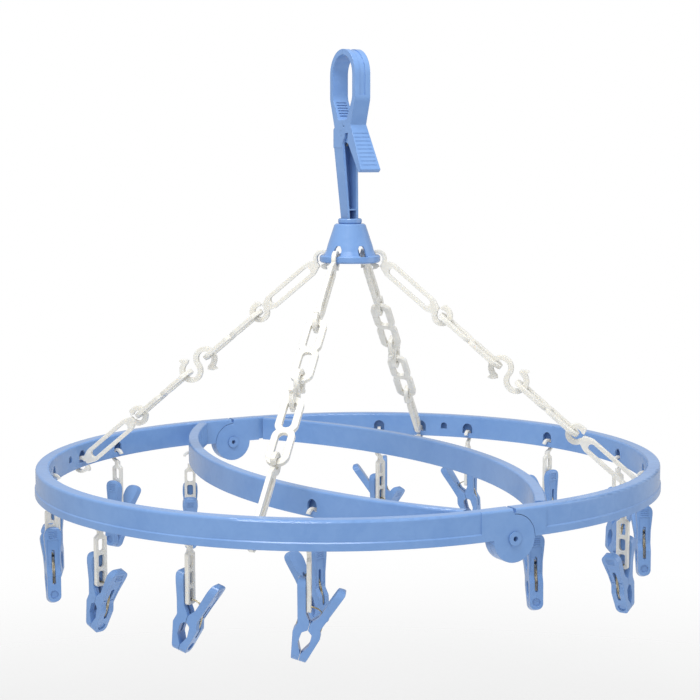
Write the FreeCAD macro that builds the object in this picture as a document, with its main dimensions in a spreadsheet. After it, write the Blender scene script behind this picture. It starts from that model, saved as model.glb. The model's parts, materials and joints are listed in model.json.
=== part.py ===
"""Clip drying hanger: a pole clamp on a stem, a swivelling bell, four link chains, a folding oval
ring in two halves and sixteen clothes clips on ladder straps.

Frame: origin at the centre of the pole clamp's circle, +Z up, Y along the ring's fold line with the
thumb lever at the front (-Y), X across it.  Millimetres and degrees.
"""
import FreeCAD, Part
import math
import os
import Sketcher
from FreeCAD import Placement, Rotation, Vector

SIZES = {
    # pole clamp and stem
    "clamp_radius": 16.5, "clamp_wall": 4.5, "clamp_width": 14.5, "clamp_foot": 37.0,
    "lever_pivot_back": 2.6, "lever_pivot_drop": 47.6, "lever_reach": 33.0, "lever_drop": 79.0,
    "lever_width": 19.0, "lever_thickness": 3.2, "cheek_radius": 7.0, "cheek_wall": 2.0,
    "trunnion_radius": 2.4, "stem_top_depth": 15.4, "stem_wall": 1.8, "stem_foot_width": 9.4,
    "stem_foot_depth": 11.8, "spring_wire": 0.6, "grip_pitch": 2.2, "grip_depth": 0.6, "band_groove": 0.8,
    # bell
    "bell_drop": 154.7, "bell_height": 36.7, "collar_radius": 9.9, "collar_bore": 8.6,
    "collar_height": 4.3, "shoulder_radius": 12.3, "skirt_radius": 20.2, "bead_radius": 25.3,
    "bead_width": 4.4, "bead_height": 6.4, "bell_wall": 2.0, "swivel_radius": 5.0, "swivel_web": 3.0,
    "web_drop": 1.7, "slot_width": 7.0, "slot_height": 8.0,
    # ring halves
    "ring_drop": 319.0, "half_radius": 243.0, "half_shift": 20.0, "rim_width": 11.2,
    "rim_height": 22.0, "rim_skin": 2.0, "rim_inner_wall": 1.8, "wall_rise": 1.0, "rim_lip": 0.8,
    "lip_height": 5.5, "arch_reach": 112.0, "arch_foot": 36.83, "arch_width": 9.0,
    "block_length": 28.0, "disc_radius": 17.8, "rivet_radius": 3.2, "rivet_head": 5.2,
    "rivet_bore": 1.9, "head_height": 1.2, "notch_width": 2.4, "notch_depth": 3.0,
    "window_width": 10.0, "tab_window": 12.0, "spare_window": 6.0, "spare_rise": 3.2,
    "strip_height": 4.5, "tab_angle": 48.0,
    # chain links
    "hook_bore": 4.5, "link_wire": 3.0, "ess_wire": 4.3, "link_thickness": 3.4, "link_play": 1.2,
    "plate_width": 12.6, "plate_slot": 6.0, "eight_width": 18.0, "eight_slot": 7.6,
    "eight_length": 67.0, "ess_length": 38.0, "hook_azimuth": 30.0, "hook_room": 0.8,
    # straps and clips
    "strap_length": 51.5, "strap_width": 10.0, "strap_thickness": 3.0, "strap_rung": 2.2,
    "strap_rail": 2.4, "eye_bore": 4.2, "eye_wire": 2.2, "strap_tail": 8.0, "strap_play": 0.5,
    "clip_handle": 30.5, "clip_jaw": 28.5, "clip_spread": 18.7, "clip_root": 9.0,
    "clip_thickness": 6.0, "clip_shoulder": 1.2, "clip_tip": 5.2, "clip_contact": 4.5,
    "clip_width": 11.0, "clip_flare": 13.6, "clip_slot": 2.6,
    "dimple_radius": 3.2, "dimple_depth": 1.2, "pad_length": 10.5, "pad_step": 0.4,
    # clearances
    "gap": 0.3, "running_gap": 0.05,
}

# Where the clips hang on one half: angle about the half's centre for the rim, distance along the
# fold line for the inner arch, and the side that the free handle leans to.
RIM_CLIPS = ((58.0, 1), (36.0, 1), (14.0, 1), (-12.0, -1), (-30.0, 1), (-62.0, -1))
ARCH_CLIPS = ((112.0, 1), (-160.0, -1))
SPARE_WINDOWS = (42.0, -42.0)

doc = FreeCAD.newDocument("clip_drying_hanger")
sheet = doc.addObject("Spreadsheet::Sheet", "sizes")
for row, (alias, number) in enumerate(SIZES.items(), 1):
    sheet.set("A%d" % row, alias)
    sheet.set("B%d" % row, str(number))
    sheet.setAlias("B%d" % row, alias)
doc.recompute()

UP = Vector(0, 0, 1)
ALONG_X = Vector(1, 0, 0)
ALONG_Y = Vector(0, 1, 0)
nodes = []


def size(alias):
    return float(sheet.get(alias))


gap = size("gap")


# ---------------------------------------------------------------- helpers

def add_node(label, shape, placement=None):
    """One sub-part: a document object named after its node."""
    feature = doc.addObject("Part::Feature", label)
    feature.Label = label
    feature.Shape = shape
    feature.Placement = placement or Placement()
    nodes.append(feature)
    return feature


def corner_wire(corners):
    """Closed wire through (point, radius) corners, each rounded by a tangent arc of its radius."""
    edges = []
    ends = []
    count = len(corners)
    for i, (point, radius) in enumerate(corners):
        before = corners[i - 1][0] - point
        after = corners[(i + 1) % count][0] - point
        if radius <= 0:
            ends.append((point, point))
            continue
        half = before.getAngle(after) / 2
        reach = radius / math.tan(half)
        inward = before.normalize() + after.normalize()
        inward.normalize()
        centre = point + inward * (radius / math.sin(half))
        start = point + before * reach
        stop = point + after * reach
        middle = centre - inward * radius
        edges.append(Part.Arc(start, middle, stop).toShape())
        ends.append((start, stop))
    for i in range(count):
        start = ends[i][1]
        stop = ends[(i + 1) % count][0]
        if start.distanceToPoint(stop) > 1e-6:
            edges.append(Part.LineSegment(start, stop).toShape())
    return Part.Wire(Part.__sortEdges__(edges))


def section(corners, plane="XZ"):
    """Face from (a, b, radius) corners in the plane named."""
    spots = {"XZ": lambda a, b: Vector(a, 0, b), "YZ": lambda a, b: Vector(0, a, b),
             "XY": lambda a, b: Vector(a, b, 0)}
    return Part.Face(corner_wire([(spots[plane](a, b), r) for a, b, r in corners]))


def turned(face, centre_x, start, sweep):
    """Face in the XZ plane, swept about the vertical line through (centre_x, 0)."""
    axis = Vector(centre_x, 0, 0)
    placed = face.copy()
    placed.rotate(axis, UP, start)
    return placed.revolve(axis, UP, sweep)


def box(low, high):
    spot = Vector(*low)
    return Part.makeBox(high[0] - low[0], high[1] - low[1], high[2] - low[2], spot)


def along(cylinder_radius, start, direction, length):
    return Part.makeCylinder(cylinder_radius, length, start, direction)


def prism(face, direction):
    """Face pushed both ways by half of the vector."""
    moved = face.copy()
    moved.translate(direction * -0.5)
    return moved.extrude(direction)


def fuse(shapes):
    joined = shapes[0].fuse(shapes[1:]) if len(shapes) > 1 else shapes[0]
    return joined.removeSplitter()


# ---------------------------------------------------------------- pole clamp, lever and stem

PIVOT = Vector(0, size("lever_pivot_back"), -size("lever_pivot_drop"))
CLAMP_OUTER = size("clamp_radius") + size("clamp_wall")
CLAMP_FOOT = -size("clamp_foot")
HALF_BAND = size("clamp_width") / 2
CHEEK_INSIDE = HALF_BAND - size("cheek_wall")
LEVER_INSIDE = CHEEK_INSIDE - gap
STEM_BACK = size("stem_top_depth")
COLLAR_FOOT = size("bell_height") - size("bell_drop") - size("collar_height")
WEB_TOP = COLLAR_FOOT - size("web_drop")
STEM_FOOT = COLLAR_FOOT - 1.0
NEAR_ROUND = 0.999
FAR = 60.0


def clamp_face(round_radius, foot, foot_half, shoulder_drop, foot_round):
    """Ring of the clamp, seen along the pole: a full round on top, drawn in to a narrow foot."""
    arc = round_radius * NEAR_ROUND
    return section([(-round_radius, round_radius, arc), (round_radius, round_radius, arc),
                    (round_radius, shoulder_drop, 13.0), (foot_half, foot, foot_round),
                    (-foot_half, foot, foot_round), (-round_radius, shoulder_drop, 13.0)], "YZ")


def clamp_hollow(grown):
    """What the clamp's ring goes round, larger on all sides by the amount."""
    inner = size("clamp_radius") + grown
    face = clamp_face(inner, CLAMP_FOOT - grown, 7.0 + grown, -19.0, 3.0)
    return prism(face, ALONG_X * size("clamp_width") * 1.2)


def clamp_ring():
    """The clamp's closed band, grooved along its outside, before it is parted into its two jaws."""
    foot = CLAMP_FOOT - 9.0
    hull = clamp_face(CLAMP_OUTER, foot, 12.5, -20.0, 2.0)
    floor = clamp_face(CLAMP_OUTER - size("band_groove"), foot, 12.5, -20.0, 2.0)
    groove_width = size("clamp_width") * 0.36
    groove = prism(hull, ALONG_X * groove_width).cut(prism(floor, ALONG_X * FAR))
    groove = groove.common(box((-FAR, -FAR, -CLAMP_OUTER * 0.8), (FAR, FAR, FAR)))
    return prism(hull, ALONG_X * size("clamp_width")).cut(clamp_hollow(0.0)).cut(groove)


def stem_cheeks():
    """The two plates that carry the lever's trunnion, each with a round boss."""
    low = PIVOT.z - 12.0
    outline = [(STEM_BACK, PIVOT.z + 3.0, 0), (STEM_BACK, low, 0), (PIVOT.y - 1.0, low, 2.0),
               (PIVOT.y - 5.0, PIVOT.z - 4.0, 2.0), (PIVOT.y - 2.0, PIVOT.z + 5.0, 2.0),
               (PIVOT.y + 5.9, PIVOT.z + 9.0, 0)]
    pieces = []
    for start in (-HALF_BAND, CHEEK_INSIDE):
        plate = section(outline, "YZ").extrude(ALONG_X * size("cheek_wall"))
        plate.translate(ALONG_X * start)
        boss = along(size("cheek_radius"), Vector(start, PIVOT.y, PIVOT.z), ALONG_X, size("cheek_wall"))
        pieces += [plate, boss]
    return pieces


def level_frame(half_width, front, back, height):
    """Closed oblong wire at this height, for a loft."""
    points = [Vector(-half_width, front, height), Vector(half_width, front, height),
              Vector(half_width, back, height), Vector(-half_width, back, height)]
    return Part.makePolygon(points + points[:1])


def channel_tower():
    """Tapering channel, open towards the lever, from the cheeks down to the swivel."""
    top = PIVOT.z - 6.0
    foot_half = size("stem_foot_width") / 2
    foot_deep = size("stem_foot_depth") / 2
    wall = size("stem_wall")
    outer = Part.makeLoft([level_frame(HALF_BAND, PIVOT.y - 2.6, STEM_BACK, top),
                           level_frame(foot_half, -foot_deep, foot_deep, STEM_FOOT)], True)
    inner = Part.makeLoft([level_frame(CHEEK_INSIDE, -FAR, STEM_BACK - wall, top + 0.1),
                           level_frame(foot_half - wall, -FAR, foot_deep - wall, STEM_FOOT + 3.0)], True)
    rib_low = STEM_FOOT + 12.0
    rib = box((-foot_half, 1.5 - foot_deep, rib_low), (foot_half, foot_deep, rib_low + 1.2)).common(outer)
    return fuse([outer.cut(inner), rib])


def build_stem():
    """Rear jaw, cheeks, channel and the headed neck that the bell turns on, moulded in one."""
    rear = clamp_ring().common(box((-HALF_BAND, gap / 2, PIVOT.z + 2.0),
                                   (HALF_BAND, CLAMP_OUTER, CLAMP_OUTER)))
    body = fuse([rear, channel_tower()] + stem_cheeks())
    grip_zone = clamp_hollow(size("grip_depth"))
    for ridge in range(6):
        height = CLAMP_FOOT + 3.0 + size("grip_pitch") * ridge
        groove = box((2.5 - HALF_BAND, 3.0, height), (HALF_BAND - 2.5, CLAMP_OUTER, height + 0.9))
        body = body.cut(groove.common(grip_zone))
    room = LEVER_INSIDE + gap
    body = body.cut(box((-room, -FAR, PIVOT.z - 10.0), (room, PIVOT.y + 6.4, PIVOT.z + 7.0)))
    hole = size("trunnion_radius") + size("running_gap")
    body = body.cut(along(hole, PIVOT - ALONG_X * FAR, ALONG_X, 2 * FAR))
    neck_low = WEB_TOP - size("swivel_web") - 1.5
    neck = along(size("swivel_radius"), Vector(0, 0, neck_low), UP, STEM_FOOT + 1.0 - neck_low)
    head_height = 3.2
    head_low = WEB_TOP - size("swivel_web") - gap - head_height
    head = Part.makeCone(size("swivel_radius") - 1.0, size("swivel_radius") + 2.2, head_height,
                         UP * head_low)
    return fuse([body, neck, head])


def build_lever():
    """Front jaw and thumb blade in one, with a hub between the cheeks and a trunnion through them."""
    front_jaw = clamp_ring().common(box((-HALF_BAND, -CLAMP_OUTER, PIVOT.z + 3.0),
                                        (HALF_BAND, -gap / 2, CLAMP_OUTER)))
    reach = -size("lever_reach")
    foot = -size("lever_drop")
    shoulder = Vector(0, -13.5, PIVOT.z + 8.0)
    half_end = size("lever_width") / 2
    profile = section([(PIVOT.y - 7.0, shoulder.z, 0), (shoulder.y, shoulder.z, 2.0),
                       (reach - 1.5, foot + 1.5, 1.0), (reach + 2.0, foot - 1.0, 1.0),
                       (-11.0, PIVOT.z - 5.0 - size("lever_thickness"), 4.0),
                       (PIVOT.y - 2.0, PIVOT.z - 7.5, 0)], "YZ")
    flare = Part.makeLoft([level_frame(HALF_BAND, -FAR, FAR, PIVOT.z + 9.0),
                           level_frame(half_end, -FAR, FAR, foot - 3.0)], True)
    blade = prism(profile, ALONG_X * size("lever_width")).common(flare)
    hub = along(size("cheek_radius") - 0.8, PIVOT - ALONG_X * LEVER_INSIDE, ALONG_X, 2 * LEVER_INSIDE)
    body = fuse([front_jaw, blade, hub])
    boss_clear = size("cheek_radius") + gap + 0.1
    span = FAR - LEVER_INSIDE
    for start in (-FAR, LEVER_INSIDE):
        boss_room = along(boss_clear, PIVOT + ALONG_X * start, ALONG_X, span)
        upper_room = box((start, PIVOT.y - 6.0, PIVOT.z), (start + span, FAR, PIVOT.z + 6.0))
        lower_room = box((start, PIVOT.y - 12.6, PIVOT.z - 20.0), (start + span, FAR, PIVOT.z))
        body = body.cut(fuse([boss_room, upper_room, lower_room]))
    spring_room = LEVER_INSIDE - 2.2
    body = body.cut(box((-spring_room, PIVOT.y - 4.2, PIVOT.z - 9.0),
                        (spring_room, PIVOT.y + 9.0, PIVOT.z + 4.2)))
    run = Vector(0, reach + 12.0, foot - 6.5 - PIVOT.z)
    for ridge in range(9):
        spot = shoulder + run * (0.22 + 0.085 * ridge)
        body = body.cut(along(0.35, spot - ALONG_X * 7.0, ALONG_X, 14.0))
    trunnion = along(size("trunnion_radius"), PIVOT - ALONG_X * HALF_BAND, ALONG_X, 2 * HALF_BAND)
    return fuse([body, trunnion])


def build_hook_spring():
    """Torsion spring round the trunnion: four turns, with a leg to the stem and one to the lever."""
    wire = size("spring_wire")
    coil_radius = size("trunnion_radius") + wire + 0.25
    turns = 4
    spacing = 1.96 * wire
    first = -spacing * (turns - 1) / 2
    coils = [Part.makeTorus(coil_radius, wire, PIVOT + ALONG_X * (first + spacing * k), ALONG_X)
             for k in range(turns)]
    back_leg = along(wire, PIVOT + Vector(-first, coil_radius * 0.9, 0), Vector(0, 0.28, -1), 11.0)
    front_leg = along(wire, PIVOT + Vector(first, -coil_radius * 0.6, -coil_radius * 0.6),
                      Vector(0, -0.2, -1), 1.6)
    return fuse(coils + [back_leg, front_leg])


# ---------------------------------------------------------------- bell

def polygon_sketch(body, name, plane, corners):
    """Sketch of a closed polygon whose corners are held by the sheet's values."""
    origin_plane = [f for f in body.Origin.OriginFeatures if f.Role == plane][0]
    sketch = body.newObject("Sketcher::SketchObject", name)
    sketch.AttachmentSupport = [(origin_plane, "")]
    sketch.MapMode = "FlatFace"
    count = len(corners)
    turns = [2 * math.pi * i / count for i in range(count)]
    rough = [Vector(10 + 3 * math.cos(turn), 10 + 3 * math.sin(turn), 0) for turn in turns]
    for i in range(count):
        sketch.addGeometry(Part.LineSegment(rough[i], rough[(i + 1) % count]))
    for i in range(count):
        sketch.addConstraint(Sketcher.Constraint("Coincident", i, 2, (i + 1) % count, 1))
    for i, (across, height) in enumerate(corners):
        for kind, rule in (("DistanceX", across), ("DistanceY", height)):
            index = sketch.addConstraint(Sketcher.Constraint(kind, -1, 1, i, 1, 10.0))
            sketch.setExpression("Constraints[%d]" % index, rule)
    return sketch


def build_bell():
    """Turned bell with a collar, a web that carries the swivel, and six hook slots over its bead."""
    body = doc.addObject("PartDesign::Body", "hub_bell")
    body.Label = "hub_bell"
    p = "sizes."
    top = p + "bell_height"
    collar_foot = top + " - " + p + "collar_height"
    web_top = collar_foot + " - " + p + "web_drop"
    profile = [
        (p + "swivel_radius + " + p + "running_gap", web_top + " - " + p + "swivel_web"),
        (p + "swivel_radius + " + p + "running_gap", web_top),
        (p + "collar_bore", web_top),
        (p + "collar_bore", top),
        (p + "collar_radius - 0.8", top),
        (p + "collar_radius", top + " - 0.9"),
        (p + "collar_radius", collar_foot + " + 1.0"),
        (p + "collar_radius - 0.9", collar_foot),
        (p + "shoulder_radius - 0.6", collar_foot),
        (p + "shoulder_radius + 0.8", collar_foot + " - 1.0"),
        (p + "skirt_radius", p + "bead_height + 3.6"),
        (p + "bead_radius - " + p + "bead_width + 1.0", p + "bead_height"),
        (p + "bead_radius - 1.2", p + "bead_height"),
        (p + "bead_radius", p + "bead_height - 1.2"),
        (p + "bead_radius", "1.4"),
        (p + "bead_radius - 1.4", "0.2"),
        (p + "bead_radius - " + p + "bead_width + 1.0", "0.2"),
        (p + "bead_radius - " + p + "bead_width", "1.2"),
        (p + "bead_radius - " + p + "bead_width", p + "bead_height - 1.0"),
        (p + "skirt_radius - " + p + "bell_wall", p + "bead_height + 3.6"),
        (p + "shoulder_radius + 0.8 - " + p + "bell_wall", web_top + " - " + p + "swivel_web"),
    ]
    outline = polygon_sketch(body, "bell_section", "XZ_Plane", profile)
    turn = body.newObject("PartDesign::Revolution", "bell_turn")
    turn.Profile = outline
    turn.ReferenceAxis = (outline, ["V_Axis"])
    turn.Angle = 360.0
    doc.recompute()
    slot = polygon_sketch(body, "slot_section", "XZ_Plane", [
        ("-" + p + "slot_width / 2", p + "bead_height - 0.8"),
        (p + "slot_width / 2", p + "bead_height - 0.8"),
        (p + "slot_width / 2", p + "bead_height + " + p + "slot_height * 0.62"),
        (p + "slot_width / 4", p + "bead_height + " + p + "slot_height"),
        ("-" + p + "slot_width / 4", p + "bead_height + " + p + "slot_height"),
        ("-" + p + "slot_width / 2", p + "bead_height + " + p + "slot_height * 0.62"),
    ])
    pocket = body.newObject("PartDesign::Pocket", "slot_cut")
    pocket.Profile = slot
    pocket.Type = 0
    pocket.setExpression("Length", p + "bead_radius + 5")
    doc.recompute()
    whole = turn.Shape.Volume
    if pocket.Shape.Volume > whole - 1.0:
        pocket.Reversed = True
        doc.recompute()
    pattern = body.newObject("PartDesign::PolarPattern", "slot_ring")
    pattern.Originals = [pocket]
    z_axis = [f for f in body.Origin.OriginFeatures if f.Role == "Z_Axis"][0]
    pattern.Axis = (z_axis, [""])
    pattern.Angle = 360.0
    pattern.Occurrences = 6
    body.Tip = pattern
    body.Placement = Placement(Vector(0, 0, -size("bell_drop")), Rotation())
    nodes.append(body)


# ---------------------------------------------------------------- ring halves

RIM_R = size("half_radius")
RIM_INNER = RIM_R - size("rim_width")
SHIFT = size("half_shift")
ARCH_RISE = size("arch_reach") - size("arch_foot")
ARCH_R = (ARCH_RISE ** 2 + RIM_INNER ** 2) / (2 * ARCH_RISE)
ARCH_CENTRE = size("arch_reach") - ARCH_R
RIM_FOOT = -size("rim_height")
WALL_FOOT = RIM_FOOT + size("wall_rise")
WALL = size("rim_inner_wall")
WALL_MID = RIM_INNER + WALL / 2
STRIP_TOP = WALL_FOOT + size("strip_height")
SPLIT = RIM_R - size("rim_width") / 2
FACE_R = RIM_R + size("rim_lip")
FOLD_CENTRE = Vector(0, 0, RIM_FOOT)
RIM_HOOK_REACH = size("rim_width") - size("rim_skin") - WALL / 2 - size("hook_room")


def rim_section():
    """The rim in (radius, height): an inverted channel, its outer foot standing out as a lip."""
    lip_top = RIM_FOOT + size("lip_height")
    inside = RIM_INNER + WALL
    outside = RIM_R - size("rim_skin")
    roof = -size("rim_skin")
    channel = [(RIM_INNER, WALL_FOOT, 0), (inside, WALL_FOOT, 0), (inside, roof, 0), (outside, roof, 0),
               (outside, RIM_FOOT, 0)]
    return section(channel + [(FACE_R, RIM_FOOT, 0.4), (FACE_R, lip_top, 0.3),
                              (RIM_R, lip_top + size("rim_lip"), 0), (RIM_R, 0, 2.0), (RIM_INNER, 0, 1.6)])


def block_section():
    """The solid stretch beside a hinge: as the rim, filled, with its face flush with the lip."""
    return section([(RIM_INNER, RIM_FOOT, 0), (FACE_R, RIM_FOOT, 0.4), (FACE_R, 0, 2.0),
                    (RIM_INNER, 0, 1.6)])


def arch_section():
    outer = size("arch_reach")
    inner = outer - size("arch_width")
    roof = -size("rim_skin")
    return section([(inner, WALL_FOOT, 0), (inner + WALL, WALL_FOOT, 0), (inner + WALL, roof, 0),
                    (outer - WALL, roof, 0), (outer - WALL, WALL_FOOT, 0), (outer, WALL_FOOT, 0),
                    (outer, 0, 1.6), (inner, 0, 1.6)])


def window_cutter(width, foot, height):
    """Arched opening this wide, from its foot up, through a wall whose near face is at x = 0."""
    half = width / 2
    crown = foot + height
    arc = half * NEAR_ROUND
    face = section([(-half, foot, 0), (half, foot, 0), (half, crown, arc), (-half, crown, arc)], "YZ")
    face.translate(ALONG_X * -1.5)
    return face.extrude(ALONG_X * (WALL + 3.0))


def rim_spot(angle, radius):
    """Plan position on the half's circle at this angle."""
    a = math.radians(angle)
    return Vector(SHIFT + radius * math.cos(a), radius * math.sin(a), 0)


def arch_angle(distance):
    return math.degrees(math.asin(distance / ARCH_R))


def arch_spot(distance, radius):
    a = math.radians(arch_angle(distance))
    return Vector(ARCH_CENTRE + radius * math.cos(a), radius * math.sin(a), 0)


def half_ring():
    """The half on the +X side, its top at z = 0, without hinge discs."""
    block_turn = math.degrees(math.asin((size("block_length") - SHIFT) / RIM_INNER))
    rim_face = rim_section()
    rim_face.translate(ALONG_X * SHIFT)
    pieces = [turned(rim_face, SHIFT, block_turn - 90.0, 180.0 - 2 * block_turn)]
    block_face = block_section()
    block_face.translate(ALONG_X * SHIFT)
    for end in (-1, 1):
        pieces.append(turned(block_face, SHIFT, -90.0 if end < 0 else 90.0 - block_turn, block_turn))
        straight = block_section()
        straight.rotate(Vector(), UP, 90.0 * end)
        straight.translate(ALONG_X * (gap / 2))
        pieces.append(straight.extrude(ALONG_X * (SHIFT - gap / 2)))
    arch_face = arch_section()
    sweep = 2 * arch_angle(RIM_INNER)
    arch = turned(arch_face, ARCH_CENTRE, -sweep / 2, sweep)
    bite = RIM_INNER + 0.4
    keep = fuse([along(bite, Vector(SHIFT, 0, RIM_FOOT), UP, FAR),
                 box((0, -bite, RIM_FOOT), (SHIFT, bite, FAR))])
    arch = arch.common(keep).common(box((gap, -RIM_R, RIM_FOOT), (RIM_R, RIM_R, FAR)))
    body = fuse(pieces + [arch])
    wide, tab_wide, spare_wide = size("window_width"), size("tab_window"), size("spare_window")
    clip_window = window_cutter(wide, STRIP_TOP, size("hook_bore") + wide / 2)
    tab_window = window_cutter(tab_wide, STRIP_TOP, size("hook_bore") + tab_wide / 2)
    spare_window = window_cutter(spare_wide, STRIP_TOP + size("spare_rise"), spare_wide)
    openings = [(angle, clip_window) for angle, lean in RIM_CLIPS]
    openings += [(size("tab_angle") * end, tab_window) for end in (-1, 1)]
    openings += [(angle, spare_window) for angle in SPARE_WINDOWS]
    for angle, window in openings:
        cutter = window.copy()
        cutter.translate(ALONG_X * (SHIFT + RIM_INNER))
        cutter.rotate(ALONG_X * SHIFT, UP, angle)
        body = body.cut(cutter)
    for distance, lean in ARCH_CLIPS:
        cutter = clip_window.copy()
        cutter.translate(ALONG_X * (size("arch_reach") - WALL))
        cutter.rotate(ALONG_X * ARCH_CENTRE, UP, arch_angle(distance))
        body = body.cut(cutter)
    return body


def build_half(outer_discs):
    """One folding half: the ring half with its hinge discs, either outside or inside the other's."""
    body = half_ring()
    radius = size("disc_radius")
    room = radius + gap + 0.1
    parting = gap / 2
    for end in (-1, 1):
        way = ALONG_Y * end
        outer_start, inner_stop = SPLIT + parting, SPLIT - parting
        if outer_discs:
            disc = along(radius, FOLD_CENTRE + way * outer_start, way, FACE_R - outer_start)
            other = along(room, FOLD_CENTRE + way * (RIM_INNER - 5.0), way, outer_start - RIM_INNER + 5.0)
        else:
            disc = along(radius, FOLD_CENTRE + way * RIM_INNER, way, inner_stop - RIM_INNER)
            other = along(room, FOLD_CENTRE + way * inner_stop, way, FACE_R - inner_stop + 5.0)
        bore = along(size("rivet_radius") + size("running_gap"), FOLD_CENTRE + way * (RIM_INNER - 5.0),
                     way, size("rim_width") + 12.0)
        reach = sorted((end * (RIM_INNER - 1.0), end * (FACE_R + 1.0)))
        notch = box((0, reach[0], -size("notch_depth")), (size("notch_width") / 2, reach[1], 1.0))
        body = fuse([body.cut(other).cut(notch), disc]).cut(bore)
    return body


def build_rivet(label, end):
    """Hollow rivet through both discs of a hinge, with a head on each side, kept to the sheet."""
    p = "sizes."
    inner_end = "(" + p + "half_radius - " + p + "rim_width - " + p + "gap)"
    outer_end = "(" + p + "half_radius + " + p + "rim_lip + " + p + "gap)"
    spans = (("shank", "rivet_radius", inner_end, outer_end),
             ("inner_head", "rivet_head", "(" + inner_end + " - " + p + "head_height)", inner_end),
             ("outer_head", "rivet_head", outer_end, "(" + outer_end + " + " + p + "head_height)"),
             ("bore", "rivet_bore", "(" + inner_end + " - 5)", "(" + outer_end + " + 5)"))
    made = []
    for name, radius, start, stop in spans:
        rod = doc.addObject("Part::Cylinder", label + "_" + name)
        rod.setExpression("Radius", p + radius)
        rod.setExpression("Height", stop + " - " + start)
        rod.Placement = Placement(Vector(), Rotation(ALONG_X, -90.0 * end))
        rod.setExpression("Placement.Base.y", "%d * %s" % (end, start))
        made.append(rod)
    headed = doc.addObject("Part::MultiFuse", label + "_headed")
    headed.Shapes = made[:3]
    rivet = doc.addObject("Part::Cut", label)
    rivet.Label = label
    rivet.Base = headed
    rivet.Tool = made[3]
    rivet.setExpression("Placement.Base.z", "-" + p + "ring_drop - " + p + "rim_height")
    nodes.append(rivet)


# ---------------------------------------------------------------- chains

def open_hook(bore, wire, thick, start, sweep):
    """Flat C in the XZ plane about the origin: from the start angle through the sweep."""
    ring = along(bore + wire, ALONG_Y * (-thick / 2), ALONG_Y, thick).cut(
        along(bore, ALONG_Y * -thick, ALONG_Y, 2 * thick))
    reach = 3 * (bore + wire)
    first = math.radians(start + sweep)
    mouth = math.radians(360.0 - sweep)
    turns = [first + mouth * k / 3 for k in range(4)]
    wedge = [Vector()] + [Vector(reach * math.cos(turn), 0, reach * math.sin(turn)) for turn in turns]
    return ring.cut(prism(Part.Face(Part.makePolygon(wedge + wedge[:1])), ALONG_Y * 3 * thick))


def barb(bore, wire, thick, angle):
    """Arrow-shaped tip at the end of an open hook, standing out from its wire and not into its bore."""
    head = section([(-wire * 0.3, wire * 0.45, 0.2), (-wire * 0.3, -wire * 1.3, 0.4),
                    (wire * 0.5, -wire * 0.9, 0.4), (wire * 1.2, wire * 0.1, 0.4),
                    (wire * 0.6, wire * 0.5, 0.2)])
    solid = prism(head, ALONG_Y * thick)
    solid.rotate(Vector(), ALONG_Y, -90.0 - angle)
    turn = math.radians(angle)
    middle = bore + wire / 2
    solid.translate(Vector(middle * math.cos(turn), 0, middle * math.sin(turn)))
    return solid


def connector(pitch, wire):
    """Oblong plate with a slot and an open barbed hook at each end, of this wire at 0 and stouter at +X."""
    bore = size("hook_bore")
    stout = size("ess_wire")
    thick = size("link_thickness")
    half = size("plate_width") / 2
    near = bore + wire * 0.3
    full = near + 8.0
    far = pitch - near
    plate = section([(near, -half / 2, 2.0), (full, -half, 5.0), (pitch - full, -half, 5.0),
                     (far, -half / 2, 2.0), (far, half / 2, 2.0), (pitch - full, half, 5.0),
                     (full, half, 5.0), (near, half / 2, 2.0)])
    slot_half = size("plate_slot") / 2
    arc = slot_half * 0.98
    slot_low = near + 8.5
    slot_high = pitch - slot_low
    slot = section([(slot_low, -slot_half, arc), (slot_high, -slot_half, arc),
                    (slot_high, slot_half, arc), (slot_low, slot_half, arc)])
    body = prism(plate, ALONG_Y * thick).cut(prism(slot, ALONG_Y * 2 * thick))
    one_end = fuse([open_hook(bore, wire, thick, 5.0, 285.0), barb(bore, wire, thick, 290.0)])
    other_end = fuse([open_hook(bore, stout, thick, 5.0, 285.0), barb(bore, wire, thick, 290.0)])
    other_end.rotate(ALONG_X * (pitch / 2), ALONG_Y, 180.0)
    eye = along(bore, ALONG_Y * -thick, ALONG_Y, 2 * thick)
    other_eye = eye.copy()
    other_eye.translate(ALONG_X * pitch)
    return fuse([body.cut(eye).cut(other_eye), one_end, other_end])


def figure_eight(length):
    """Double link: two slotted ovals joined by a neck, flat in the XY plane, along +X from 0."""
    half = size("eight_width") / 2
    slot_half = size("eight_slot") / 2
    rail = half - slot_half
    oval = (length + rail) / 2
    arc = half * 0.95
    hole_arc = slot_half * 0.95
    outlines = []
    holes = []
    for start in (0.0, length - oval):
        low, high = start + rail, start + oval - rail
        outlines.append(section([(start, -half, arc), (start + oval, -half, arc),
                                 (start + oval, half, arc), (start, half, arc)], "XY"))
        holes.append(section([(low, -slot_half, hole_arc), (high, -slot_half, hole_arc),
                              (high, slot_half, hole_arc), (low, slot_half, hole_arc)], "XY"))
    direction = UP * size("link_thickness")
    body = fuse([prism(outline, direction) for outline in outlines])
    for hole in holes:
        body = body.cut(prism(hole, direction * 2))
    return body


def ess_link(length):
    """S-shaped double hook with barbed tips, flat in the XZ plane, along +X from 0."""
    wire = size("ess_wire")
    thick = size("link_thickness")
    outer = length / 4 + wire / 4
    bore = outer - wire
    hooks = []
    for centre, start in ((outer, -5.0), (length - outer, 175.0)):
        hook = fuse([open_hook(bore, wire, thick, start, 262.0), barb(bore, wire, thick, start + 266.0)])
        hook.translate(ALONG_X * centre)
        hooks.append(hook)
    return fuse(hooks)


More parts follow.
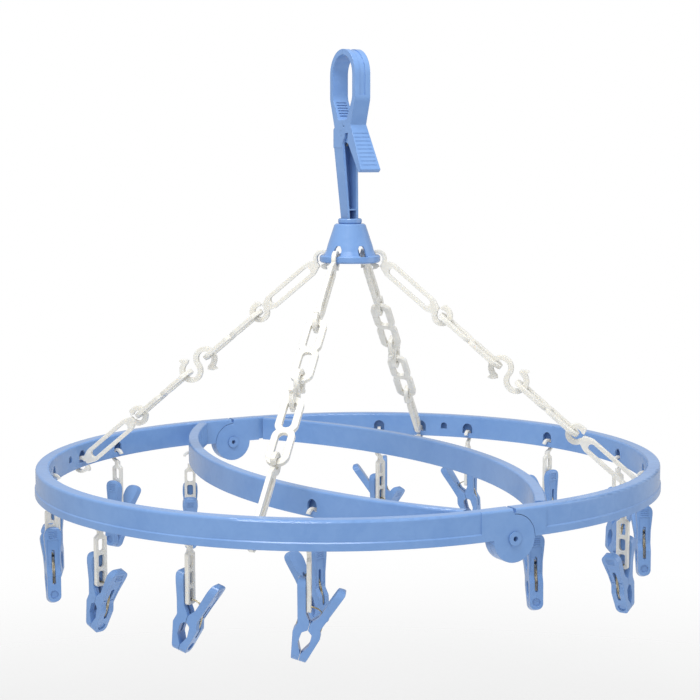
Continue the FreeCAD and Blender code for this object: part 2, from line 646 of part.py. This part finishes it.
def chain_links(total):
    """The five links of one chain along +X: hook bore centres at 0 and at the total length."""
    bore = size("hook_bore")
    wire = size("ess_wire")
    play = size("link_play")
    rail = (size("eight_width") - size("eight_slot")) / 2
    eight = size("eight_length")
    ess = size("ess_length")
    pitch = (total - 2 * eight - ess) / 2 + 2 * rail + 2 * play + wire - bore
    first_eight = figure_eight(eight)
    start = pitch + bore - play - rail
    first_eight.translate(ALONG_X * start)
    start += eight - rail - play - wire
    middle = ess_link(ess)
    middle.translate(ALONG_X * start)
    start += ess - wire - play - rail
    second_eight = figure_eight(eight)
    second_eight.translate(ALONG_X * start)
    last = connector(pitch, RIM_HOOK_REACH - bore)
    last.rotate(ALONG_X * (pitch / 2), UP, 180.0)
    last.translate(ALONG_X * (total - pitch))
    return [connector(pitch, size("link_wire")), first_eight, middle, second_eight, last]


# ---------------------------------------------------------------- straps and clips

def build_strap():
    """Ladder strap hanging from the origin: an open eye over the strip, then three slots.

    Its plane is XZ; the strip's top edge is at the origin and runs along Y.
    """
    bore = size("eye_bore")
    wire = size("eye_wire")
    thick = size("strap_thickness")
    half = size("strap_width") / 2
    length = size("strap_length")
    rung = size("strap_rung")
    eye_drop = bore - 0.9
    eye = open_hook(bore, wire, thick, -90.0, 250.0 + gap)
    eye.translate(UP * -eye_drop)
    neck = 2.0
    top = -eye_drop - bore - wire * 0.4
    shoulder = top - 6.0
    ladder = section([(-neck, top, 0), (-neck, shoulder + 2.5, 1.0), (-half, shoulder, 1.5),
                      (-half, -length, 2.0), (half, -length, 2.0), (half, shoulder, 1.5),
                      (neck, shoulder + 2.5, 1.0), (neck, top, 0)])
    body = fuse([prism(ladder, ALONG_Y * thick), eye])
    pitch = (length + shoulder - 0.5) / 3
    rail = half - size("strap_rail")
    for step in range(3):
        high = shoulder - 0.5 - pitch * step - 0.6
        low = shoulder - 0.5 - pitch * (step + 1) + rung
        hole = section([(-rail, low, 2.0), (rail, low, 2.0), (rail, high, 1.4), (-rail, high, 1.4)])
        body = body.cut(prism(hole, ALONG_Y * 2 * thick))
    return body


HANDLE = size("clip_handle")
JAW = size("clip_jaw")
LEAN = math.degrees(math.atan2(size("clip_spread") - size("clip_root"), HANDLE))
HANDLE_IN = size("clip_thickness") / math.cos(math.radians(LEAN))


def handle_face(height):
    """How far the handle's outer face stands from the clip's middle at this height."""
    return size("clip_root") + height * math.tan(math.radians(LEAN))


def jaw_profile():
    """The +X jaw from the side: a straight lever with its fulcrum at the top of a short contact face."""
    slim = gap / 2
    contact = size("clip_contact")
    vee = 6.4
    shoulder = size("clip_root") + size("clip_shoulder")
    return section([(slim, 0.5, 0), (1.7, 2.8, 1.2), (handle_face(vee) - HANDLE_IN, vee, 3.0),
                    (handle_face(HANDLE) - HANDLE_IN, HANDLE, 2.6), (handle_face(HANDLE), HANDLE, 2.6),
                    (handle_face(-1.5), -1.5, 3.0), (shoulder, -7.8, 3.0), (size("clip_tip"), -JAW, 1.2),
                    (slim, -JAW, 0.4), (slim, 6.0 - JAW, 0.6), (4.2, -JAW * 0.53, 4.0),
                    (3.8, -contact - 2.5, 2.0), (slim, -contact, 0.4)])


def jaw_front():
    """The jaw from the front: a rounded thumb pad, drawn in to a narrow round tip."""
    flare = size("clip_flare") / 2
    waist = size("clip_width") / 2
    tip = waist - 0.2
    right = [(tip, -JAW, tip * 0.9), (waist, 9.0, 10.0), (flare, 22.0, 6.0), (flare, HANDLE, flare * 0.95)]
    left = [(-across, height, arc) for across, height, arc in reversed(right)]
    return section(right + left, "YZ")


def jaw_half():
    """The +X jaw of a clip, its fulcrum at the origin, its width along Y."""
    body = prism(jaw_profile(), ALONG_Y * 2 * size("clip_flare")).common(prism(jaw_front(), ALONG_X * FAR))
    half_slot = size("clip_slot") / 2
    slot_top = HANDLE - 18.0
    slot_foot = -JAW * 0.52
    arc = half_slot * 0.95
    slot = section([(-half_slot, slot_foot, arc), (half_slot, slot_foot, arc),
                    (half_slot, slot_top, arc), (-half_slot, slot_top, arc)], "YZ")
    body = body.cut(prism(slot, ALONG_X * FAR))
    dimple_height = 5.8 - JAW
    jaw_slope = math.atan2(size("clip_root") + size("clip_shoulder") - size("clip_tip"), JAW - 7.8)
    dimple_face = size("clip_tip") + (dimple_height + JAW) * math.tan(jaw_slope)
    outward = Vector(math.cos(jaw_slope), 0, -math.sin(jaw_slope))
    seat = Vector(dimple_face, 0, dimple_height) - outward * size("dimple_depth")
    body = body.cut(along(size("dimple_radius"), seat, outward, 6.0))
    pad_foot = HANDLE - size("pad_length")
    step = size("pad_step")
    recess = section([(handle_face(1.0) - step, 1.0, 0), (handle_face(pad_foot) - step, pad_foot, 0),
                      (handle_face(pad_foot) + 2.0, pad_foot, 0), (handle_face(1.0) + 2.0, 1.0, 0)])
    body = body.cut(prism(recess, ALONG_Y * (size("clip_width") - 2.4)))
    for rib in range(4):
        height = pad_foot + 1.6 + 1.5 * rib
        body = body.cut(along(0.4, Vector(handle_face(height), -3.2, height), ALONG_Y, 6.4))
    return body


# ---------------------------------------------------------------- the assembly

def half_turn(side):
    """Placement that puts a +X half on its side: the -X half is the same, turned about the stem."""
    return Placement(Vector(0, 0, -size("ring_drop")), Rotation(UP, 0.0 if side > 0 else 180.0))


def clip_places():
    """(number, placement of the strap, lean) of each clip, in the whole hanger's frame."""
    number = 0
    for side in (-1, 1):
        base = half_turn(side)
        for angle, lean in RIM_CLIPS:
            number += 1
            spot = rim_spot(angle, WALL_MID) + UP * STRIP_TOP
            yield number, base.multiply(Placement(spot, Rotation(UP, angle))), lean
        for distance, lean in ARCH_CLIPS:
            number += 1
            spot = arch_spot(distance, ARCH_R - WALL / 2) + UP * STRIP_TOP
            yield number, base.multiply(Placement(spot, Rotation(UP, arch_angle(distance) + 180.0))), lean


def clip_in_strap(lean):
    """The clip's fulcrum and lean in the strap's frame: its held handle stands upright beside the strap."""
    handle_back = (size("clip_root") - HANDLE_IN) * math.cos(math.radians(LEAN))
    across = handle_back - size("strap_thickness") / 2 - size("strap_play")
    height = -size("strap_length") - size("strap_tail")
    side = Placement(Vector(), Rotation(UP, 90.0 if lean > 0 else -90.0))
    return side.multiply(Placement(Vector(across, 0, height), Rotation(ALONG_Y, LEAN)))


def chain_place(side, end):
    """Placement of a chain: its local +X runs from the bell's bead to the ring's window strip."""
    azimuth = math.radians(size("hook_azimuth") * end)
    bead_middle = size("bead_radius") - size("bead_width") / 2
    bead = Vector(bead_middle * math.cos(azimuth), bead_middle * math.sin(azimuth),
                  size("bead_height") / 2 - size("bell_drop"))
    tab_height = WALL_FOOT + size("strip_height") / 2 - size("ring_drop")
    tab = rim_spot(size("tab_angle") * end, WALL_MID) + UP * tab_height
    if side < 0:
        turn = Rotation(UP, 180.0)
        bead = turn.multVec(bead)
        tab = turn.multVec(tab)
    line = tab - bead
    yaw = Rotation(UP, math.degrees(math.atan2(line.y, line.x)))
    pitch = Rotation(ALONG_Y, math.degrees(math.atan2(-line.z, math.hypot(line.x, line.y))))
    return Placement(bead, yaw.multiply(pitch)), line.Length


def build_all():
    add_node("hook_stem", build_stem())
    add_node("hook_lever", build_lever())
    add_node("hook_spring", build_hook_spring())
    build_bell()
    add_node("frame_left", build_half(True), half_turn(-1))
    add_node("frame_right", build_half(False), half_turn(1))
    build_rivet("rivet_front", -1)
    build_rivet("rivet_back", 1)
    doc.recompute()
    for side, side_name in ((-1, "left"), (1, "right")):
        for end, end_name in ((-1, "front"), (1, "back")):
            place, length = chain_place(side, end * side)
            links = Part.makeCompound(chain_links(length))
            add_node("chain_%s_%s" % (side_name, end_name), links, place)
    strap = build_strap()
    jaw_plus = jaw_half()
    jaw_minus = jaw_plus.mirror(Vector(), ALONG_X)
    for number, place, lean in clip_places():
        add_node("strap_%02d" % number, strap.copy(), place)
        clip = place.multiply(clip_in_strap(lean))
        add_node("clip_%02d_held_jaw" % number, jaw_minus.copy(), clip)
        add_node("clip_%02d_free_jaw" % number, jaw_plus.copy(), clip)


build_all()
doc.recompute()
for thing in doc.Objects:
    if "Invalid" in thing.State or "Error" in thing.State:
        raise RuntimeError("%s did not build: %s" % (thing.Label, thing.State))
os.makedirs("parts", exist_ok=True)
for node in nodes:
    shape = node.Shape
    if shape.isNull() or not shape.isValid():
        raise RuntimeError(node.Label + " has no valid shape")
    shape.exportStep("parts/%s.step" % node.Label)
print(len(nodes), "nodes,", sum(len(n.Shape.Solids) for n in nodes), "solids")
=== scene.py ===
"""Looks of the clip drying hanger: blue and milky moulded polypropylene, plated spring wire, a pale studio.

Metres, in the hanger's own frame: origin at the middle of the pole clamp, +Z up, Y along the ring's fold
line with the thumb lever towards -Y.
"""

import json
import math

import bpy
from mathutils import Matrix, Vector


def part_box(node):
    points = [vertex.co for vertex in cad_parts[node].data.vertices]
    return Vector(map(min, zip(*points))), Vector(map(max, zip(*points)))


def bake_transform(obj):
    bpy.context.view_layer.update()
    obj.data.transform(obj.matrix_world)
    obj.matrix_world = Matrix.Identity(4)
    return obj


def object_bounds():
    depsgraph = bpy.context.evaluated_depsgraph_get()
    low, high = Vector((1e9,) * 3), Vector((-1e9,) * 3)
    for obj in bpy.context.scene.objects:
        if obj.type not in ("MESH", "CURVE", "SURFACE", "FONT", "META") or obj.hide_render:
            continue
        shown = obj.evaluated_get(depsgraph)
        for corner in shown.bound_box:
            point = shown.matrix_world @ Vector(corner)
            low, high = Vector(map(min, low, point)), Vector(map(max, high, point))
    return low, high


MM = 0.001

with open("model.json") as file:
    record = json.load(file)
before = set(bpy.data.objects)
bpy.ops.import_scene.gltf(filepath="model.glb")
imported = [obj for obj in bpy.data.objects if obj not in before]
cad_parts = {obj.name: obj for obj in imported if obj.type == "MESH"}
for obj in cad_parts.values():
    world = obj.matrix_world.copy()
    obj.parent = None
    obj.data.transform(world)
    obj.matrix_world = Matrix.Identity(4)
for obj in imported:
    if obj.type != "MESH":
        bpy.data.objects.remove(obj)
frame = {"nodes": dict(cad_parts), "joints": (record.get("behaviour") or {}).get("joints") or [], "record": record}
cad_low, cad_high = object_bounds()
nodes = frame["nodes"]
joints = {joint["name"]: joint for joint in frame["joints"]}


# ---------------------------------------------------------------- colour and nodes

def srgb(code):
    """Linear RGBA of an sRGB hex value."""
    channels = [int(code[i:i + 2], 16) / 255 for i in (1, 3, 5)]
    return tuple(c / 12.92 if c <= 0.04045 else ((c + 0.055) / 1.055) ** 2.4 for c in channels) + (1.0,)


def add(tree, kind, settings=None, links=None):
    """One node, with its properties and input values, its ramp stops, and the sockets linked to its inputs."""
    node = tree.nodes.new(kind)
    for name, value in (settings or {}).items():
        if name == "stops":
            marks = node.color_ramp.elements
            while len(marks) < len(value):
                marks.new(0.5)
            for mark, (place, code) in zip(marks, value):
                mark.position = place
                mark.color = srgb(code)
        elif isinstance(name, str) and hasattr(node, name):
            setattr(node, name, value)
        else:
            node.inputs[name].default_value = value
    for name, source in (links or {}).items():
        tree.links.new(source, node.inputs[name])
    return node


def blank(name):
    """Material with only a Principled shader and its output."""
    material = bpy.data.materials.new(name)
    material.use_nodes = True
    tree = material.node_tree
    tree.nodes.clear()
    shader = add(tree, "ShaderNodeBsdfPrincipled")
    add(tree, "ShaderNodeOutputMaterial", links={"Surface": shader.outputs["BSDF"]})
    return material, tree, shader


def per_metre(millimetres):
    """Noise scale whose features are this wide, for coordinates in metres."""
    return 1.0 / (millimetres * MM)


# ---------------------------------------------------------------- finishes

def moulded_polypropylene(name, stops, gloss, edge_round):
    """Injection-moulded polypropylene: satin-bright from a polished mould, with soft sink marks.

    stops are the colours of its faint flow clouding; gloss is the roughness about which it varies;
    edge_round is how far the light sees the mould's broken edges rounded, in millimetres.
    """
    material, tree, shader = blank(name)
    where = add(tree, "ShaderNodeTexCoord").outputs["Object"]
    clouds = add(tree, "ShaderNodeTexNoise", {"Scale": per_metre(38.0), "Detail": 3.0}, {"Vector": where})
    swirls = add(tree, "ShaderNodeTexNoise", {"Scale": per_metre(9.0), "Detail": 2.0, "Distortion": 1.2},
                 {"Vector": where})
    flow = add(tree, "ShaderNodeMix", {"Factor": 0.35},
               {"A": clouds.outputs["Fac"], "B": swirls.outputs["Fac"]})
    tint = add(tree, "ShaderNodeValToRGB", {"stops": stops}, {"Fac": flow.outputs["Result"]})
    tree.links.new(tint.outputs["Color"], shader.inputs["Base Color"])
    worn = add(tree, "ShaderNodeMapRange", {"From Min": 0.3, "From Max": 0.7, "To Min": gloss - 0.04,
                                            "To Max": gloss + 0.06}, {"Value": swirls.outputs["Fac"]})
    tree.links.new(worn.outputs["Result"], shader.inputs["Roughness"])
    edges = add(tree, "ShaderNodeBevel", {"samples": 4, "Radius": edge_round * MM})
    # the mould's own grain is finer than 0.1 mm; it is drawn at 0.6 mm, the finest that shows
    grain = add(tree, "ShaderNodeTexNoise", {"Scale": per_metre(0.6), "Detail": 1.0}, {"Vector": where})
    satin = add(tree, "ShaderNodeBump", {"Strength": 0.15, "Distance": 0.003 * MM},
                {"Height": grain.outputs["Fac"], "Normal": edges.outputs["Normal"]})
    # sink marks over the walls behind, about 12 mm across and a few hundredths deep
    sinks = add(tree, "ShaderNodeTexNoise", {"Scale": per_metre(12.0), "Detail": 1.0}, {"Vector": where})
    surface = add(tree, "ShaderNodeBump", {"Strength": 0.25, "Distance": 0.03 * MM},
                  {"Height": sinks.outputs["Fac"], "Normal": satin.outputs["Normal"]})
    tree.links.new(surface.outputs["Normal"], shader.inputs["Normal"])
    shader.inputs["IOR"].default_value = 1.49
    return material, shader


def blue_polypropylene():
    """Opaque sky-blue pigment under a clean gloss: long soft highlights and no depth."""
    stops = [(0.3, "#6C92C8"), (0.5, "#7398CC"), (0.72, "#7A9ED0")]
    return moulded_polypropylene("blue_moulded_polypropylene", stops, 0.2, 0.4)[0]


def milky_polypropylene():
    """Unpigmented polypropylene: waxy and half see-through, so light fills its shadows."""
    stops = [(0.3, "#DAD8D0"), (0.5, "#E0DED7"), (0.72, "#E5E4DE")]
    material, shader = moulded_polypropylene("milky_moulded_polypropylene", stops, 0.3, 0.4)
    shader.inputs["Subsurface Weight"].default_value = 0.6
    shader.inputs["Subsurface Scale"].default_value = 2.5 * MM
    shader.inputs["Subsurface Radius"].default_value = (1.0, 0.95, 0.85)
    return material


def plated_spring_wire():
    """Drawn steel wire with a thin yellowish zinc plating: bright, with faint lines and a dull bloom."""
    material, tree, shader = blank("zinc_plated_spring_wire")
    where = add(tree, "ShaderNodeTexCoord").outputs["Object"]
    bloom = add(tree, "ShaderNodeTexNoise", {"Scale": per_metre(3.0), "Detail": 3.0}, {"Vector": where})
    tint = add(tree, "ShaderNodeValToRGB", {"stops": [(0.35, "#A3946F"), (0.55, "#C4BBA2"), (0.7, "#D6D1C2")]},
               {"Fac": bloom.outputs["Fac"]})
    tree.links.new(tint.outputs["Color"], shader.inputs["Base Color"])
    worn = add(tree, "ShaderNodeMapRange", {"To Min": 0.2, "To Max": 0.36}, {"Value": bloom.outputs["Fac"]})
    tree.links.new(worn.outputs["Result"], shader.inputs["Roughness"])
    # draw lines are finer than 0.05 mm; they are drawn at 0.3 mm
    lines = add(tree, "ShaderNodeTexNoise", {"Scale": per_metre(0.3), "Detail": 1.0}, {"Vector": where})
    drawn = add(tree, "ShaderNodeBump", {"Strength": 0.2, "Distance": 0.02 * MM},
                {"Height": lines.outputs["Fac"]})
    tree.links.new(drawn.outputs["Normal"], shader.inputs["Normal"])
    shader.inputs["Metallic"].default_value = 1.0
    return material


def dress(piece, material):
    piece.data.materials.clear()
    piece.data.materials.append(material)


# ---------------------------------------------------------------- clip springs

WIRE_RADIUS = 0.42
WIRE_GAP = 1.1
# How far a clip's handles spread, in millimetres: across at the fulcrum, across at their tops, and up.
HANDLE_ROOT = 9.0
HANDLE_SPREAD = 18.7
HANDLE_HEIGHT = 30.5
# Half of a spring in the clip's own plane, in millimetres across and up from the fulcrum: from the top of
# the bow, out through the top of a jaw's slot, down its outside and back in at the slot's foot.
SPRING_HALF = ((0.0, 11.5), (3.0, 11.3), (5.8, 9.6), (8.2, 6.5), (8.9, 2.0), (9.1, -3.0), (8.7, -8.5),
               (7.4, -13.6))


def clip_frame(number):
    """Matrix from a clip's own frame: origin at its fulcrum, Z up its middle, X to its free jaw."""
    hinge = joints["clip_%02d_squeeze" % number]
    across = -Vector(hinge["axis"]).normalized()
    free_low, free_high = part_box("clip_%02d_free_jaw" % number)
    held_low, held_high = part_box("clip_%02d_held_jaw" % number)
    apart = (free_low + free_high - held_low - held_high) / 2
    up = Vector((0, 0, 1))
    sideways = across.cross(up).normalized()
    if sideways.dot(apart) < 0:
        sideways = -sideways
    lean = math.atan2(HANDLE_SPREAD - HANDLE_ROOT, HANDLE_HEIGHT)
    along = up * math.cos(lean) + sideways * math.sin(lean)
    side = sideways * math.cos(lean) - up * math.sin(lean)
    turn = Matrix((side, along.cross(side), along)).transposed()
    return Matrix.Translation(Vector(hinge["pos_m"])) @ turn.to_4x4()


def spring_mesh(name):
    """Two parallel wires bowed over the clip, in the clip's own frame."""
    path = [(-x, z) for x, z in reversed(SPRING_HALF)] + list(SPRING_HALF[1:])
    curve = bpy.data.curves.new(name, "CURVE")
    curve.dimensions = "3D"
    curve.bevel_depth = WIRE_RADIUS * MM
    curve.bevel_resolution = 2
    curve.resolution_u = 4
    curve.use_fill_caps = True
    for side in (-0.5, 0.5):
        spline = curve.splines.new("NURBS")
        spline.points.add(len(path) - 1)
        for point, (x, z) in zip(spline.points, path):
            point.co = (x * MM, side * WIRE_GAP * MM, z * MM, 1.0)
        spline.order_u = 3
        spline.use_endpoint_u = True
    bow = bpy.data.objects.new(name, curve)
    bpy.context.scene.collection.objects.link(bow)
    mesh = bpy.data.meshes.new_from_object(bow.evaluated_get(bpy.context.evaluated_depsgraph_get()))
    bpy.data.objects.remove(bow)
    mesh.polygons.foreach_set("use_smooth", [True] * len(mesh.polygons))
    return mesh


def clip_springs(steel):
    """A spring on every clip, set over its fulcrum; it stays still when the free jaw opens."""
    wires = spring_mesh("spring_wires")
    count = sum(name.endswith("_squeeze") for name in joints)
    for number in range(1, count + 1):
        place = clip_frame(number)
        mesh = wires.copy()
        mesh.transform(place)
        spring = bpy.data.objects.new("clip_%02d_spring" % number, mesh)
        bpy.context.scene.collection.objects.link(spring)
        dress(spring, steel)
        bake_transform(spring)


# ---------------------------------------------------------------- studio

FLOOR_DROP = 0.6
FLOOR_REACH = 3.2
FLOOR_SIDES = 96
FLOOR_FADE_START = 0.6
FLOOR_FADE_END = 2.6
SWEEP_LIGHT = 0.62
SENSOR_WIDTH = 36.0
CAMERA_AZIMUTH = math.radians(-29.2)
CAMERA_PITCH = math.radians(6.56)
CAMERA_DISTANCE = 1.407
CAMERA_HEIGHT = -0.0665
CAMERA_LENS = 86.7


def pale_floor():
    """Round sheet of white board below the hanger, fading out into the white sweep."""
    height = cad_low.z - FLOOR_DROP
    turns = [math.tau * k / FLOOR_SIDES for k in range(FLOOR_SIDES)]
    edge = [(FLOOR_REACH * math.cos(turn), FLOOR_REACH * math.sin(turn), height) for turn in turns]
    mesh = bpy.data.meshes.new("studio_floor")
    mesh.from_pydata(edge, [], [tuple(range(FLOOR_SIDES))])
    floor = bpy.data.objects.new("studio_floor", mesh)
    bpy.context.scene.collection.objects.link(floor)
    material, tree, shader = blank("matt_white_board")
    where = add(tree, "ShaderNodeTexCoord").outputs["Object"]
    mottle = add(tree, "ShaderNodeTexNoise", {"Scale": per_metre(400.0), "Detail": 2.0}, {"Vector": where})
    tint = add(tree, "ShaderNodeValToRGB", {"stops": [(0.3, "#FBFBFB"), (0.7, "#FFFFFF")]},
               {"Fac": mottle.outputs["Fac"]})
    tree.links.new(tint.outputs["Color"], shader.inputs["Base Color"])
    level = add(tree, "ShaderNodeVectorMath", {"operation": "MULTIPLY", 1: (1.0, 1.0, 0.0)}, {0: where})
    from_middle = add(tree, "ShaderNodeVectorMath", {"operation": "LENGTH"}, {0: level.outputs["Vector"]})
    fade = add(tree, "ShaderNodeMapRange", {"interpolation_type": "SMOOTHSTEP", "From Min": FLOOR_FADE_START,
                                            "From Max": FLOOR_FADE_END, "To Min": 1.0, "To Max": 0.0},
               {"Value": from_middle.outputs["Value"]})
    tree.links.new(fade.outputs["Result"], shader.inputs["Alpha"])
    shader.inputs["Roughness"].default_value = 0.9
    dress(floor, material)


def softbox(name, place, width, power):
    """Square soft light aimed at the middle of the hanger."""
    lamp = bpy.data.lights.new(name, "AREA")
    lamp.shape = "SQUARE"
    lamp.size = width
    lamp.energy = power
    holder = bpy.data.objects.new(name, lamp)
    holder.location = place
    middle = (cad_low + cad_high) / 2
    holder.rotation_euler = (middle - Vector(place)).to_track_quat("-Z", "Y").to_euler()
    bpy.context.scene.collection.objects.link(holder)


def white_sweep():
    """White all round, at full strength where it is seen and softer as light."""
    world = bpy.data.worlds.new("white_sweep")
    world.use_nodes = True
    tree = world.node_tree
    tree.nodes.clear()
    seen = add(tree, "ShaderNodeLightPath").outputs["Is Camera Ray"]
    strength = add(tree, "ShaderNodeMapRange", {"To Min": SWEEP_LIGHT, "To Max": 1.0}, {"Value": seen})
    sweep = add(tree, "ShaderNodeBackground", {"Color": srgb("#FFFFFF")},
                {"Strength": strength.outputs["Result"]})
    add(tree, "ShaderNodeOutputWorld", links={"Surface": sweep.outputs["Background"]})
    bpy.context.scene.world = world


def place_camera():
    """Long lens a little above the ring, a third of a right angle round from the fold line."""
    towards = Vector((-math.sin(CAMERA_AZIMUTH), math.cos(CAMERA_AZIMUTH), 0))
    ahead = towards * math.cos(CAMERA_PITCH) - Vector((0, 0, math.sin(CAMERA_PITCH)))
    lens = bpy.data.cameras.new("camera")
    lens.lens = CAMERA_LENS
    lens.sensor_width = SENSOR_WIDTH
    holder = bpy.data.objects.new("camera", lens)
    holder.location = Vector((0, 0, CAMERA_HEIGHT)) - towards * CAMERA_DISTANCE
    holder.rotation_euler = ahead.to_track_quat("-Z", "Y").to_euler()
    bpy.context.scene.collection.objects.link(holder)
    bpy.context.scene.camera = holder
    bpy.context.scene.view_settings.view_transform = "Standard"


# ---------------------------------------------------------------- the scene

steel = plated_spring_wire()
finishes = {"blue_plastic": blue_polypropylene(), "milky_plastic": milky_polypropylene(),
            "spring_steel": steel}
for part in frame["record"]["subparts"]:
    dress(nodes[part["node"]], finishes[part["material_slot"]])
clip_springs(steel)

pale_floor()
white_sweep()
softbox("overhead_softbox", (-0.4, -0.4, 1.1), 0.8, 17.0)
softbox("front_softbox", (-1.5, -1.5, 0.45), 0.9, 10.0)
softbox("right_fill", (1.6, -1.0, 0.0), 1.2, 6.0)
place_camera()
